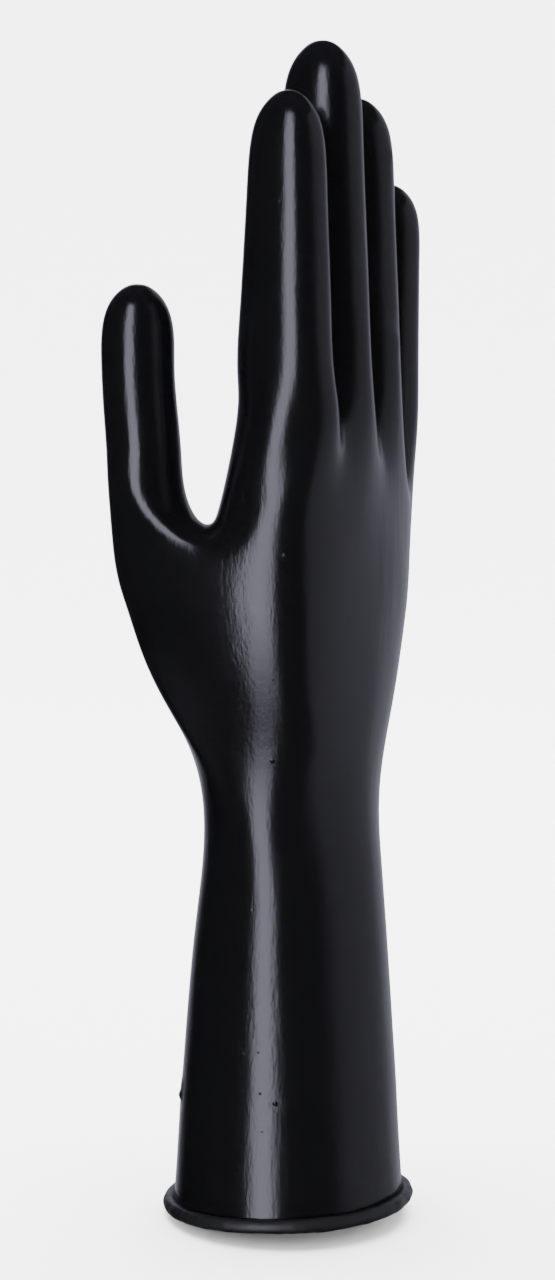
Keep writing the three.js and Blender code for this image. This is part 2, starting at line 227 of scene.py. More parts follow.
# %% The fingers' roots and the webs
# The curved edge between thumb and index finger, back to palm. Columns: x, y, z
CROTCH = [[-40.4, 2.2, 178.6], [-35.6, 4.0, 181.6], [-29.2, 8.0, 179.2]]
# Stations 0 to 8. Columns: back x, back y, back z, palm x, palm y, palm z
ROOT_STATIONS = np.array([
    [-37.6, -21.8, 204, -37.6, -6.8, 206],
    [-31.5, -27.9, 206, -30.5, -1.6, 208],
    [-20.9, -25.3, 203.5, -20.6, -4.6, 207],
    [-10.8, -28.1, 206, -10.2, -1.9, 208],
    [0, -25.3, 200.6, 0, -4.6, 206.5],
    [10.1, -26.4, 203, 10.3, -2.2, 206],
    [20.2, -23.6, 190, 20.2, -4.6, 193],
    [29.8, -21.7, 192, 29.6, -1.8, 193],
    [35.8, -17.6, 191, 35.8, -6, 191.5],
])
# The tops of the webs, and the middles of the two outer sides. Columns: x, y, z
WEB_TOPS = [
    [-40.4, -14.8, 205], [-20.7, -14.8, 212], [0, -14.6, 211.6],
    [20.1, -13.4, 197.5], [38.7, -12, 191],
]
print("roots:", len(ROOT_STATIONS), "stations, webs:", len(WEB_TOPS), "tops")

# %% Ovals up each finger
# Columns: root x, y, z, tip x, y, z, half width at root and tip, half depth at root
# and tip, length of the rounded tip, the oval's turn in degrees
FINGERS = {
    "index": ((-31.1, -14.7, 219), (-34, -17, 284.5), (9.0, 7.5), (13.0, 10.1), 16, 12),
    "middle": ((-10.5, -15.1, 219), (-11, -14.6, 298.8), (9.0, 8.0), (12.9, 10.3), 16, 9),
    "ring": ((10.2, -14.2, 218), (12.2, -12.9, 287.2), (8.8, 7.9), (12.0, 9.8), 15, 5),
    "little": ((29.6, -11.9, 204.5), (33, -12.2, 267.2), (8.5, 7.4), (10.3, 9.1), 13, 0),
}
FINGER_POWER = 2.1
FINGER_START_ANGLE = 225
SHAFT_SHARES = np.array([0, 0.3, 0.58, 0.82])   # rings up the straight part


def finger_rings(root, tip, half_width, half_depth, tip_length, turn):
    """Ovals about a leaning line, with a half width and depth that change evenly from
    root to tip, turned by an angle. In the tip both are also times the square root of
    one minus the square of the share of the tip's length."""
    root, tip = np.array(root, float), np.array(tip, float)
    tip_start = tip[2] - tip_length
    shaft = root[2] + (tip_start - root[2]) * SHAFT_SHARES
    height = np.concatenate([shaft, tip_start + tip_length * TIP_SHARES])
    taper = np.concatenate([SHAFT_SHARES, np.ones(len(TIP_SHARES))])
    shrink = np.concatenate([np.ones(len(SHAFT_SHARES)), np.sqrt(1 - TIP_SHARES ** 2)])
    half_x = (half_width[0] + (half_width[1] - half_width[0]) * taper) * shrink
    half_y = (half_depth[0] + (half_depth[1] - half_depth[0]) * taper) * shrink
    angles = np.radians(FINGER_START_ANGLE + round_angles)
    flat = oval(angles, half_x[:, None], half_y[:, None], FINGER_POWER)
    cosine, sine = np.cos(np.radians(-turn)), np.sin(np.radians(-turn))
    flat = flat @ np.array([[cosine, sine], [-sine, cosine]])
    way = ((height - root[2]) / (tip[2] - root[2]))[:, None, None]
    centre = root[:2] + (tip[:2] - root[:2]) * way
    z = np.broadcast_to(height[:, None, None], flat.shape[:2] + (1,))
    return np.concatenate([flat + centre, z], -1)


for name, row in FINGERS.items():
    print(name, "finger:", len(finger_rings(*row)), "ovals and a tip")

# %% [markdown]
# ## The cage
#
# The real film has no seams, so the rings are joined into one cage. It is made only of
# four-sided faces, because subdivision turns those into an even grid that shines without
# dimples. Triangles would be quicker to fit round the thumb, and would show there.

# %% Points and faces, ring by ring
class Cage:
    """Points and four-sided faces, added ring by ring as whole arrays."""

    def __init__(self):
        self.points = np.empty((0, 3))
        self.faces = np.empty((0, 4), int)

    def add(self, rows):
        """Adds points and returns their numbers."""
        start = len(self.points)
        self.points = np.concatenate([self.points, np.asarray(rows, float)])
        return np.arange(start, len(self.points))

    def join(self, lower, upper):
        """Faces between two rings: a point and its neighbour on the lower ring, then
        the neighbour's partner and the point's own on the upper ring."""
        new = [lower, np.roll(lower, -1), np.roll(upper, -1), upper]
        self.faces = np.concatenate([self.faces, np.stack(new, 1)])

    def climb(self, ring, sections):
        """Joins each section to the one before and returns the last one's numbers."""
        for section in sections:
            following = self.add(section)
            self.join(ring, following)
            ring = following
        return ring

    def close(self, ring, tip):
        """Faces from a round to its tip, each over two of the round's sides."""
        even = np.arange(0, ROUND_POINTS, 2)
        top = np.repeat(self.add([tip]), len(even))
        new = [ring[even - 1], ring[even], ring[even + 1], top]
        self.faces = np.concatenate([self.faces, np.stack(new, 1)])


cage = Cage()
root_ring = cage.climb(cage.add(hand_rings[0]), [*hand_rings[1:], thumb_level])
print("cage up to the thumb's root:", len(cage.faces), "faces")

# %% Thumb
# Five points of the ring and the crotch's three make the round that the thumb starts
# from. In the palm's own ring the crotch then stands for three of those five.
THUMB_FIRST = [1]
THUMB_REST = [17, 18, 19, 0]
CROTCH_PLACES = [0, 19, 18]
crotch = cage.add(CROTCH)
thumb_start = np.concatenate([root_ring[THUMB_FIRST], crotch, root_ring[THUMB_REST]])
cage.close(cage.climb(thumb_start, thumb_rings()), THUMB_TIP)
palm_ring = root_ring.copy()
palm_ring[CROTCH_PLACES] = crotch
print("cage with the thumb:", len(cage.faces), "faces")

# %% Knuckles and fingers
knuckles = cage.add(knuckle_ring)
cage.join(palm_ring, knuckles)
web = cage.add(WEB_TOPS)
back = cage.add(ROOT_STATIONS[:, :3])
front = cage.add(ROOT_STATIONS[:, 3:])
cage.join(knuckles, np.concatenate([web[:1], back, web[-1:], front[::-1]]))
for k, row in enumerate(FINGERS.values()):
    own = slice(2 * k, 2 * k + 3)
    around = [*back[own], web[k + 1], *front[own][::-1], web[k]]
    cage.close(cage.climb(np.array(around), finger_rings(*row)), row[1])
print("whole cage:", len(cage.points), "points,", len(cage.faces), "faces")

# %% [markdown]
# ## From cage to smooth film
#
# Stretched rubber has no flat places, so the cage is rounded by Catmull-Clark rounds.
# Blender's Subdivision Surface does the same, but here the rounds are worked out in
# numpy, because the marks come after them and need the fine points. Each round also
# shrinks the cage. So it is first moved outwards, until its points come to rest within
# a fraction of a millimetre of their tables.

# %% Edges and sums round a point
def find_edges(faces):
    """Each edge once, the edge numbers of every face's four sides, and how many faces
    each edge has: one on the rim and two elsewhere."""
    sides = np.stack([faces, np.roll(faces, -1, 1)], -1).transpose(1, 0, 2).reshape(-1, 2)
    edges, number, uses = np.unique(np.sort(sides, 1), axis=0, return_inverse=True,
                                    return_counts=True)
    return edges, number.reshape(4, -1), uses


def gather(count, index, values):
    """Adds up values on the points that index names, for each column of the two."""
    total = np.zeros((count, 3))
    for column in range(index.shape[1]):
        np.add.at(total, index[:, column], values[column])
    return total


def neighbours(points, edges):
    """Sum of the far ends of all edges at each point."""
    return gather(len(points), edges, [points[edges[:, 1]], points[edges[:, 0]]])


def on_rim(points, rim):
    """True for the points of the open rim, in a column."""
    found = np.zeros((len(points), 1), bool)
    found[rim.ravel()] = True
    return found


cage_edges, _, cage_uses = find_edges(cage.faces)
print("cage edges:", len(cage_edges), "of them on the rim:", (cage_uses == 1).sum())

# %% The cage moved outwards
FIT_ROUNDS = 2


def resting_points(points, faces):
    """Where each point ends on the smooth surface: with n faces round it, n squared
    times the point, four times its neighbours and once the far corners of its faces, over
    n times n plus five. On the rim, four times the point and its two neighbours, over six."""
    edges, _, uses = find_edges(faces)
    n = np.bincount(faces.ravel(), minlength=len(points))[:, None]
    far = gather(len(points), faces, [points[faces[:, (c + 2) % 4]] for c in range(4)])
    inner = (n ** 2 * points + 4 * neighbours(points, edges) + far) / (n * (n + 5))
    rim = edges[uses == 1]
    return np.where(on_rim(points, rim), (4 * points + neighbours(points, rim)) / 6, inner)


film_points = cage.points
for _ in range(FIT_ROUNDS):
    film_points = film_points + cage.points - resting_points(film_points, cage.faces)
missed = np.linalg.norm(cage.points - resting_points(film_points, cage.faces), axis=1)
print("points rest", missed.mean().round(2), "mm from their tables on average")

# %% The cage made smooth
SMOOTH_ROUNDS = 3


def subdivide(points, faces):
    """One Catmull-Clark round. A new point lies in the middle of each face, and one on
    each edge, at the mean of its ends and of the new points beside it. With n edges, an old
    point becomes the mean of those face points, twice the mean of the edges' middles and
    n minus three times itself, over n. The rim is rounded as a curve of its own."""
    edges, number, uses = find_edges(faces)
    centre = points[faces].mean(1)
    middle = points[edges].mean(1)
    beside = gather(len(edges), number.T, [centre] * 4)
    is_rim = (uses == 1)[:, None]
    edge_points = np.where(is_rim, middle, (points[edges].sum(1) + beside) / 4)
    n = np.bincount(faces.ravel(), minlength=len(points))[:, None]
    spokes = np.bincount(edges.ravel(), minlength=len(points))[:, None]
    face_mean = gather(len(points), faces, [centre] * 4) / n
    edge_mean = gather(len(points), edges, [middle] * 2) / spokes
    rim = edges[uses == 1]
    moved = np.where(on_rim(points, rim), (6 * points + neighbours(points, rim)) / 8,
                     (face_mean + 2 * edge_mean + (n - 3) * points) / n)
    first_edge = len(points) + len(faces)
    own = len(points) + np.arange(len(faces))
    split = [np.stack([faces[:, c], first_edge + number[c], own, first_edge + number[c - 1]], 1)
             for c in range(4)]
    return np.concatenate([moved, centre, edge_points]), np.concatenate(split)


film_faces = cage.faces
for _ in range(SMOOTH_ROUNDS):
    film_points, film_faces = subdivide(film_points, film_faces)
print("film:", len(film_faces), "faces, size in mm", np.ptp(film_points, axis=0).round(1))

# %% [markdown]
# ## The lean of the opening
#
# The photo shows the bead's front a little higher than its back, so the opening's plane
# leans. The whole glove could be tilted, but its tip and its outline stand straight.
# So only the lowest part of the film follows, and the bead is laid on the same line.

# %% The film's lowest part
OPENING_HEIGHT = 3.9       # of the bead's middle, on average
OPENING_LEAN = 2.1         # above and below that height
OPENING_TURN = 246         # where the opening is highest, in degrees from +X
OPENING_REACH = 25         # the film follows the lean up to this height


def opening_height(angle):
    """Height of the opening at an angle round the glove: the average, plus the lean
    times the cosine of the angle from its highest place."""
    return OPENING_HEIGHT + OPENING_LEAN * np.cos(angle - np.radians(OPENING_TURN))


film_angle = np.arctan2(film_points[:, 1], film_points[:, 0])
follow = np.clip(1 - film_points[:, 2] / OPENING_REACH, 0, 1)
rim_height = HAND_RINGS[0, 0]
film_points[:, 2] += (opening_height(film_angle) - rim_height) * follow
print("lowest point of the film in mm:", film_points[:, 2].min().round(2))

# %% [markdown]
# ## Marks in the film
#
# A dipped film is never perfect. Air and grit leave nubs and dents, which the eye finds
# on the outline and in the long highlight, and the film runs a little thick and thin as
# it drains. A texture could fake all of it, but not on the outline. So the wide marks
# and the runs are moved into the mesh here, and only what is smaller than a face is
# left to the material.

# %% Nubs and dents
# Columns: x, y, z, radius, height (below zero is a dent)
WIDE_MARKS = np.array([
    [-16.0, 23.1, 31.6, 1.8, 0.65],
    [-16.0, 23.1, 34.2, 3.2, 0.28],
    [-16.2, 23.0, 29.2, 1.6, -0.22],
    [11.7, -22.9, 272.7, 2.6, 0.30],
    [9.8, -25.7, 230.5, 4.0, -0.40],
    [9.8, -25.8, 225.6, 3.2, 0.22],
    [-29.0, -10.2, 123.2, 2.4, 0.06],
    [-26.4, -9.6, 36.3, 2.6, -0.06],
    [-25.8, -3.1, 84.8, 2.6, -0.04],
    [-41.0, -5.0, 158.0, 6.0, -0.03],
    [-39.8, -8.6, 152.0, 5.0, -0.02],
])


def marks_height(points):
    """Sum over the marks of a round hump: its height times the square of one minus the
    squared share of its radius, within that radius."""
    apart = np.linalg.norm(points[:, None] - WIDE_MARKS[None, :, :3], axis=2)
    near = np.clip(1 - (apart / WIDE_MARKS[:, 3]) ** 2, 0, None)
    return near ** 2 @ WIDE_MARKS[:, 4]


mark_lift = marks_height(film_points)
print("marks: from", mark_lift.min().round(2), "to", mark_lift.max().round(2), "mm")

# %% Thick and thin runs
# Columns: height, waves round the glove, length, turn in radians
DRAIN_WAVES = np.array([
    [0.016, 5, 150.0, 0.4],
    [0.009, 9, 95.0, 1.9],
    [0.005, 14, 60.0, 3.1],
    [0.003, 23, 41.0, 5.0],
])
DRAIN_FADE = 12            # they fade out below this height, where the bead begins


def drain_height(points):
    """Sum over the waves of a height times a sine round the glove times a sine along
    it, and all of it times an even rise from the opening up."""
    angle = np.arctan2(points[:, 1], points[:, 0])[:, None]
    a, k, length, turn = DRAIN_WAVES.T
    wave = np.sin(k * angle + turn) * np.sin(2 * np.pi * points[:, 2:] / length + turn)
    return wave @ a * np.clip(points[:, 2] / DRAIN_FADE, 0, 1)


drain_lift = drain_height(film_points)
print("runs: from", drain_lift.min().round(3), "to", drain_lift.max().round(3), "mm")

# %% The film moved along its normals
def point_normals(points, faces):
    """Unit normals: the sum of each face's diagonals crossed, at its four corners."""
    across = np.cross(points[faces[:, 2]] - points[faces[:, 0]],
                      points[faces[:, 3]] - points[faces[:, 1]])
    total = gather(len(points), faces, [across] * 4)
    return total / np.linalg.norm(total, axis=1)[:, None]


lift = mark_lift + drain_lift
film_points = film_points + lift[:, None] * point_normals(film_points, film_faces)
print("film lifted from", lift.min().round(2), "to", lift.max().round(2), "mm")

# %% [markdown]
# ## Latex
#
# Black latex mirrors sharply, and its small unevenness shows only in what it mirrors:
# long soft runs down the length from draining, a fine grain, and a few specks. The two
# materials could each have their own noise, but one relief group keeps them alike. It
# gives only values and a normal. The film is glossy, and the bead, which is rolled up
# while the film is still wet, is duller.

# %% Runs and grain
# Columns: scale per metre, detail, stretch
RUNS = (260, 2, 0.2)
WIDE_RUNS = (70, 1, 0.3)
GRAIN = (1500, 2, 0.35)
NOISE_MIDDLE = 0.5


def math_node(tree, operation, *values):
    """One sum or product of its values, which are numbers or the sockets to link."""
    node = tree.nodes.new("ShaderNodeMath")
    node.operation = operation
    for socket, value in zip(node.inputs, values):
        if isinstance(value, (int, float)):
            socket.default_value = value
        else:
            tree.links.new(value, socket)
    return node.outputs[0]


def noise_node(tree, place, scale, detail, stretch):
    """Noise above and below zero, drawn out along Z by one over the stretch."""
    mapping = tree.nodes.new("ShaderNodeMapping")
    mapping.inputs["Scale"].default_value = (1, 1, stretch)
    tree.links.new(place, mapping.inputs["Vector"])
    texture = tree.nodes.new("ShaderNodeTexNoise")
    texture.inputs["Scale"].default_value = scale
    texture.inputs["Detail"].default_value = detail
    tree.links.new(mapping.outputs[0], texture.inputs["Vector"])
    return math_node(tree, "SUBTRACT", texture.outputs[0], NOISE_MIDDLE)


for name, (scale, _, stretch) in (("runs", RUNS), ("wide runs", WIDE_RUNS), ("grain", GRAIN)):
    print("length of the", name, "in mm, about:", round(1 / (scale * stretch * MM)))

# %% Specks
# Columns: x, y, z in mm, radius in mm, height as a share of the speck depth
SPECKS = [
    (-40.8, -17.8, 258.1, 0.35, 0.8),
    (-40.4, -19.4, 174.8, 0.60, 1.6),
    (8.0, -26.6, 157.8, 0.40, 0.9),
    (-35.8, -14.0, 144.1, 0.32, -1.0),
    (-34.1, -15.2, 141.0, 0.30, -0.8),
    (-29.0, -10.2, 123.2, 0.70, 1.6),
    (-25.8, -3.1, 84.8, 0.50, -0.8),
    (-27.0, -5.2, 49.0, 0.36, -0.8),
    (-27.5, -1.6, 48.5, 0.36, -0.8),
    (-27.4, -5.9, 38.6, 0.42, -1.2),
    (-26.4, -9.6, 36.3, 0.80, 2.0),
    (-27.7, -6.6, 29.0, 0.30, -0.6),
]


def speck_node(tree, place, x, y, z, radius, height):
    """A hump that falls smoothly from its height at the middle to zero at its radius."""
    apart = tree.nodes.new("ShaderNodeVectorMath")
    apart.operation = "DISTANCE"
    tree.links.new(place, apart.inputs[0])
    apart.inputs[1].default_value = (x * MM, y * MM, z * MM)
    hump = tree.nodes.new("ShaderNodeMapRange")
    hump.interpolation_type = "SMOOTHSTEP"
    hump.inputs["From Min"].default_value = 0
    hump.inputs["From Max"].default_value = radius * MM
    hump.inputs["To Min"].default_value = height
    hump.inputs["To Max"].default_value = 0
    tree.links.new(apart.outputs["Value"], hump.inputs["Value"])
    return hump.outputs[0]


print("specks:", len(SPECKS))

# %% The relief group
WIDE_RUN_SHARE = 2.2       # the wide runs' depth, over that of the others
GRAIN_SHADE = 0.6          # share of the grain in the shade
DEPTHS = ("Run depth", "Grain depth", "Speck depth")


def relief_group():
    """Group: the height is each depth times its noise or specks, added up, and a Bump
    node turns it into the normal. The shade is the wide runs and a share of the grain."""
    group = bpy.data.node_groups.new("latex_relief", "ShaderNodeTree")
    face = group.interface
    face.new_socket("Place", in_out="INPUT", socket_type="NodeSocketVector")
    for name in DEPTHS:
        face.new_socket(name, in_out="INPUT", socket_type="NodeSocketFloat")
    face.new_socket("Shade", in_out="OUTPUT", socket_type="NodeSocketFloat")
    face.new_socket("Normal", in_out="OUTPUT", socket_type="NodeSocketVector")
    given = group.nodes.new("NodeGroupInput").outputs
    result = group.nodes.new("NodeGroupOutput").inputs
    runs, wide_runs, grain = (noise_node(group, given["Place"], *row)
                              for row in (RUNS, WIDE_RUNS, GRAIN))
    specks = speck_node(group, given["Place"], *SPECKS[0])
    for row in SPECKS[1:]:
        specks = math_node(group, "ADD", specks, speck_node(group, given["Place"], *row))
    all_runs = math_node(group, "MULTIPLY_ADD", wide_runs, WIDE_RUN_SHARE, runs)
    height = math_node(group, "MULTIPLY", all_runs, given["Run depth"])
    height = math_node(group, "MULTIPLY_ADD", grain, given["Grain depth"], height)
    height = math_node(group, "MULTIPLY_ADD", specks, given["Speck depth"], height)
    bump = group.nodes.new("ShaderNodeBump")
    bump.inputs["Strength"].default_value = 1.0
    bump.inputs["Distance"].default_value = MM
    group.links.new(height, bump.inputs["Height"])
    group.links.new(bump.outputs[0], result["Normal"])
    shade = math_node(group, "MULTIPLY_ADD", grain, GRAIN_SHADE, wide_runs)
    group.links.new(shade, result["Shade"])
    return group


relief = relief_group()
print("relief group:", len(relief.nodes), "nodes")

# %% The two materials
LATEX_IOR = 1.52
SHADE_ROUGHNESS = 0.06     # how much the shade adds to the roughness
FILM_COLOUR = (0.0015, 0.0015, 0.0019)
BEAD_COLOUR = (0.0030, 0.0030, 0.0034)
FILM_ROUGHNESS = 0.18
BEAD_ROUGHNESS = 0.42
# In the order of DEPTHS, in mm
FILM_DEPTHS = (0.070, 0.032, 0.12)
BEAD_DEPTHS = (0.200, 0.035, 0.0)


def latex(name, colour, roughness, depths):
    """Glossy rubber: its roughness is a base plus a small share of the shade, and its
    normal is the relief's."""
    material = bpy.data.materials.new(name)
    material.use_nodes = True
    tree = material.node_tree
    shader = tree.nodes["Principled BSDF"].inputs
    shader["Base Color"].default_value = (*colour, 1)
    shader["IOR"].default_value = LATEX_IOR
    place = tree.nodes.new("ShaderNodeTexCoord")
    group = tree.nodes.new("ShaderNodeGroup")
    group.node_tree = relief
    tree.links.new(place.outputs["Object"], group.inputs["Place"])
    for socket, value in zip(DEPTHS, depths):
        group.inputs[socket].default_value = value
    wear = math_node(tree, "MULTIPLY_ADD", group.outputs["Shade"], SHADE_ROUGHNESS, roughness)
    tree.links.new(wear, shader["Roughness"])
    tree.links.new(group.outputs["Normal"], shader["Normal"])
    return material


film_latex = latex("black_latex_film", FILM_COLOUR, FILM_ROUGHNESS, FILM_DEPTHS)
bead_latex = latex("black_latex_bead", BEAD_COLOUR, BEAD_ROUGHNESS, BEAD_DEPTHS)
print("materials:", film_latex.name, "and", bead_latex.name)

# %% [markdown]
# ## The film
#
# The real film is about half a millimetre thick, with an inner skin that shows only
# through the opening. A second skin could be worked out as the first was. A Solidify
# modifier does the same from the outer skin, and closes the lower rim as well, which is
# hidden inside the bead. The film is a little thicker here, nearer to its solid's 1 mm.

# %% A mesh from points and faces
def make_mesh(name, points, faces, material):
    """An object at the origin, whose mesh holds the points times a thousandth, which
    turns millimetres into metres. It is shaded smooth."""
    mesh = bpy.data.meshes.new(name)
    mesh.from_pydata((points * MM).tolist(), [], faces.tolist())
    mesh.polygons.foreach_set("use_smooth", np.ones(len(faces), bool))
    mesh.materials.append(material)
    mesh.update()
    made = bpy.data.objects.new(name, mesh)
    bpy.context.scene.collection.objects.link(made)
    return made


film = make_mesh("latex_film", film_points, film_faces, film_latex)
print("outer skin:", len(film.data.polygons), "faces")

# %% The inner skin
FILM_THICKNESS = 0.8
skin = film.modifiers.new("wall", "SOLIDIFY")
skin.thickness = FILM_THICKNESS * MM
skin.offset = -1
skin.use_even_offset = True
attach(film, "root")
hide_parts("glove_shell")
print("film:", FILM_THICKNESS, "mm thick, added on the inside")

# %% [markdown]
# ## The rolled bead
#
# The bead is the film rolled up on itself, so its section is nearly round, and the edge
# of the last turn shows as a low step that wanders round the roll. A spiral section
# could be swept round, but all of it except that step would be hidden. So the bead is a
# torus, a function of the angle round the glove and the angle round the tube. Its tube
# swells, thins and has a few lumps where the roll was pulled.

# %% How thick the tube is
BEAD_TUBE = 1.75
# Waves round the glove. Columns: height, number of waves, turn in radians
BEAD_SWELLS = ((0.06, 3, 0.8), (0.05, 8, 2.2), (0.035, 17, 4.0), (0.025, 31, 0.3), (0.018, 57, 1.0))
# The last turn's edge: where it lies round the tube in radians, how that wanders, how
# high it stands, how far behind the edge it fades away, and how sharp it is
EDGE_PLACE = 0.9
EDGE_WANDER = ((0.22, 2, 0.6), (0.12, 5, 2.0), (0.05, 13, 0.0))
EDGE_HEIGHT = 0.17
EDGE_FADE = 0.55
EDGE_SHARPNESS = 0.07
# Single lumps on the tube. Columns: angle round the glove and round the tube in
# degrees, width in degrees, height
BEAD_LUMPS = np.array([
    [268, 20, 3.0, 0.28], [281, -8, 2.2, 0.22], [293, 30, 4.0, 0.18],
    [246, 5, 2.0, 0.16], [212, -25, 2.4, 0.12], [322, 12, 3.0, 0.22],
    [38, 15, 3.5, 0.20], [95, 0, 3.0, 0.16], [141, 25, 2.6, 0.18],
])
LUMP_TURN = 9              # a lump's width round the tube, over that round the glove


def waves(angle, rows):
    """Sum over the rows of a height times the sine of so many times the angle, plus
    a turn."""
    a, k, turn = np.array(rows).T
    return np.sin(angle[..., None] * k + turn) @ a


def angle_from(angle, degrees):
    """The shorter way round from a direction in degrees to the angle, in degrees."""
    return np.degrees(np.angle(np.exp(1j * (angle - np.radians(degrees)))))


def tube_radius(u, v):
    """The tube plus its swells, plus behind the edge a step that rises sharply and fades
    as a bell curve, plus a bell in both angles for each lump."""
    behind = np.mod(v - EDGE_PLACE - waves(u, EDGE_WANDER) + np.pi, 2 * np.pi) - np.pi
    rise = 1 + np.exp(-behind / EDGE_SHARPNESS)
    tube = BEAD_TUBE + waves(u, BEAD_SWELLS) + EDGE_HEIGHT * np.exp(-(behind / EDGE_FADE) ** 2) / rise
    for round_glove, round_tube, width, height in BEAD_LUMPS:
        du = angle_from(u, round_glove) / width
        dv = angle_from(v, round_tube) / (width * LUMP_TURN)
        tube = tube + height * np.exp(-du ** 2 - dv ** 2)
    return tube


BEAD_STEPS = (480, 32)     # round the glove, round the tube
bead_u, bead_v = np.meshgrid(*(np.arange(steps) * 2 * np.pi / steps for steps in BEAD_STEPS),
                             indexing="ij")
bead_tube = tube_radius(bead_u, bead_v)
print("tube's radius from", bead_tube.min().round(2), "to", bead_tube.max().round(2), "mm")

# %% The bead's surface
BEAD_RADIUS = 30.9         # to the middle of the tube
# How the bead wanders outwards and upwards. Columns as for the swells
BEAD_OUTWARDS = ((0.12, 3, 0.5),)
BEAD_UPWARDS = ((0.1, 4, 1.0),)
GROUND_GAP = 0.02          # the bead's lowest point stays this much above the origin's plane


def bead_surface(u, v, tube):
    """Torus: the distance from the axis is the bead's radius plus the tube's times the
    cosine of v, and the height is the opening's plus the tube's times the sine of v."""
    out = BEAD_RADIUS + waves(u, BEAD_OUTWARDS) + tube * np.cos(v)
    height = opening_height(u) + waves(u, BEAD_UPWARDS) + tube * np.sin(v)
    points = np.stack([out * np.cos(u), out * np.sin(u), height], -1)
    number = np.arange(u.size).reshape(u.shape)
    right, up = np.roll(number, -1, 0), np.roll(number, -1, 1)
    faces = np.stack([number, right, np.roll(right, -1, 1), up], -1)
    return points.reshape(-1, 3), faces.reshape(-1, 4)


bead_points, bead_faces = bead_surface(bead_u, bead_v, bead_tube)
lowest = bead_points[:, 2].min()
bead_points[:, 2] += max(GROUND_GAP - lowest, 0)
bead = make_mesh("rolled_bead", bead_points, bead_faces, bead_latex)
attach(bead, "root")
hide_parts("glove_shell")
print("bead:", len(bead_faces), "faces, lowest point", round(lowest, 2), "mm")

# %% [markdown]
# ## Floor and wall
#
# The glove stands on a pale floor that sweeps up into a pale wall all round. A plane
# would do for one view, but the glove is looked at from all sides. Black rubber shows
# what it mirrors rather than its colour, so the floor and the wall aren't seen in
# mirrored rays, and the film stays dark between its lights. Stage sizes are in metres.

# %% A profile turned about the glove
SWEEP_STEPS = 129          # points round the glove


def sweep(name, first_side, last_side, profile, material):
    """Surface of turning: each row of radius and height goes to the radius times the sine
    of the side, minus the radius times its cosine, and the height."""
    sides = np.radians(np.linspace(first_side, last_side, SWEEP_STEPS))[:, None]
    radius, height = np.array(profile).T
    points = np.stack([np.sin(sides) * radius, -np.cos(sides) * radius,
                       np.broadcast_to(height, (SWEEP_STEPS, len(height)))], -1)
    number = np.arange(points.shape[0] * points.shape[1]).reshape(points.shape[:2])
    faces = np.stack([number[:-1, :-1], number[:-1, 1:], number[1:, 1:], number[1:, :-1]], -1)
    made = make_mesh(name, points.reshape(-1, 3) / MM, faces.reshape(-1, 4), material)
    return made


PALE_GREY = (0.86, 0.86, 0.86, 1)
pale = bpy.data.materials.new("pale_backdrop")
pale.use_nodes = True
pale_shader = pale.node_tree.nodes["Principled BSDF"].inputs
pale_shader["Base Color"].default_value = PALE_GREY
pale_shader["Roughness"].default_value = 1.0
pale_shader["Specular IOR Level"].default_value = 0.0
print("backdrop:", pale.name)

# %% The sweep of the backdrop
FLOOR_HEIGHT = -0.0004
FLOOR_RADII = (0.0, 0.3, 0.8, 1.5)
BEND_RADIUS = 0.7
BEND_STEPS = 25
WALL_TOP = 3.2
bend = np.radians(np.linspace(0, 90, BEND_STEPS))
floor_profile = [(r, FLOOR_HEIGHT) for r in FLOOR_RADII]
wall_profile = [(FLOOR_RADII[-1] + BEND_RADIUS * np.sin(t),
                 FLOOR_HEIGHT + BEND_RADIUS * (1 - np.cos(t))) for t in bend]
wall_profile.append((FLOOR_RADII[-1] + BEND_RADIUS, WALL_TOP))
floor = sweep("floor", 0, 360, floor_profile, pale)
wall = sweep("wall", 0, 360, wall_profile, pale)
floor.visible_glossy = False
wall.visible_glossy = False
floor.visible_shadow = False
print("stage:", floor.name, "and", wall.name)

# %% [markdown]
# ## Lights
#
# The photo's highlights are the shapes of its lights: one tall narrow strip, a broad dim
# grey on the back of the hand, a brighter edge beside it, a thin rim from far behind,
# and a faint gleam low on the thumb's side. Area lights could stand there, but their
# edges are hard. So each light is a curved sheet that glows and fades at its four edges,
# and is seen only in mirrored rays. A plain lamp above lights the floor.

# %% Light that fades at its edges
GLOW_COLOUR = (0.82, 0.81, 0.99, 1)


def glow_material(name, radiance, first, last, foot, head):
    """Emission: the radiance times a smooth rise from each of the four edges, whose
    widths are shares of the sheet."""
    material = bpy.data.materials.new(name)
    material.use_nodes = True
    tree = material.node_tree
    tree.nodes.clear()
    place = tree.nodes.new("ShaderNodeTexCoord")
    split = tree.nodes.new("ShaderNodeSeparateXYZ")
    tree.links.new(place.outputs["UV"], split.inputs[0])
    strength = radiance
    edges = (("X", 0, first), ("X", 1, 1 - last), ("Y", 0, foot), ("Y", 1, 1 - head))
    for axis, outside, inside in edges:
        rise = tree.nodes.new("ShaderNodeMapRange")
        rise.interpolation_type = "SMOOTHSTEP"
        rise.inputs["From Min"].default_value = outside
        rise.inputs["From Max"].default_value = inside
        tree.links.new(split.outputs[axis], rise.inputs["Value"])
        strength = math_node(tree, "MULTIPLY", rise.outputs[0], strength)
    emission = tree.nodes.new("ShaderNodeEmission")
    output = tree.nodes.new("ShaderNodeOutputMaterial")
    emission.inputs["Color"].default_value = GLOW_COLOUR
    tree.links.new(strength, emission.inputs["Strength"])
    tree.links.new(emission.outputs[0], output.inputs["Surface"])
    return material


print("glow colour:", GLOW_COLOUR[:3])

